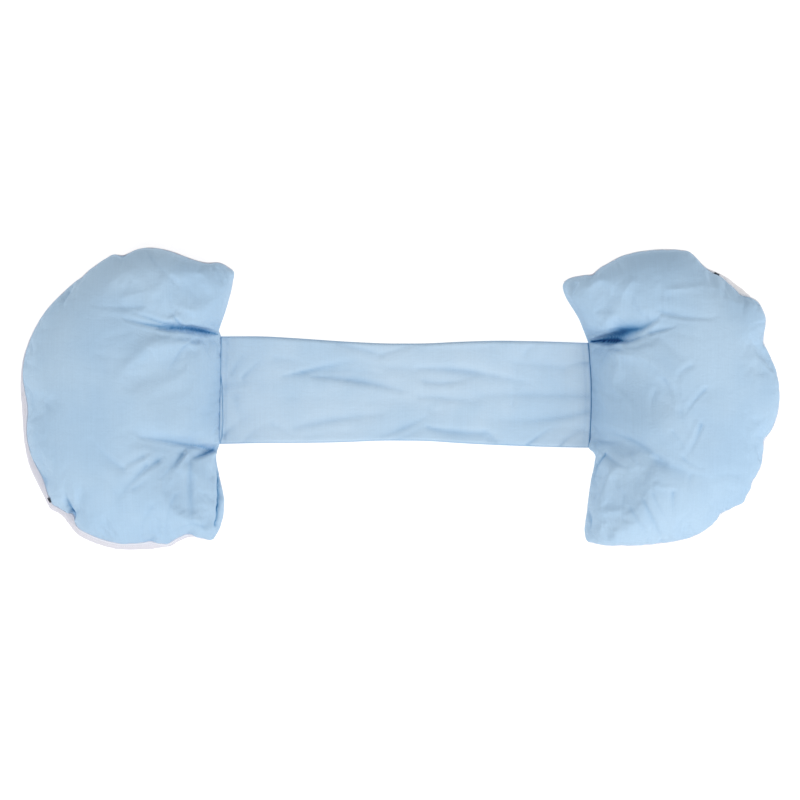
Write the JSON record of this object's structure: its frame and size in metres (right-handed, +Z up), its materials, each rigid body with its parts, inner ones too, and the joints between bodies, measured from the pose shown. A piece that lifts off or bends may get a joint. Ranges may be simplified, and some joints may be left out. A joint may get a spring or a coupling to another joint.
{
  "type": "pregnancy pillow",
  "caption": "Side-sleeper pregnancy pillow: two filled half-moon cushions in light blue cotton with white undersides, joined by a flat cloth band that passes under the waist.",
  "frame": {"origin": "on the surface the pillow lies on, below the middle of its bounding box", "axes": "+X along the pillow from the left cushion to the right one, +Y towards the upper wings of the cushions as pictured, +Z up from the surface it lies on"},
  "size_m": [1.2, 0.4789, 0.128],
  "materials": {
    "blue_cotton": "plain woven cotton, soft and slightly satin, light blue",
    "white_cotton": "plain woven cotton, matt, white with a cool tint",
    "zip_metal": "dark grey enamel on a small zip slider, satin"
  },
  "bodies": {
    "root": {"left_cushion": "blue_cotton", "right_cushion": "blue_cotton", "band": "blue_cotton", "left_underside": "white_cotton", "right_underside": "white_cotton", "left_zip_slider": "zip_metal", "left_zip_stop": "zip_metal", "right_zip_slider": "zip_metal"}
  },
  "joints": []
}
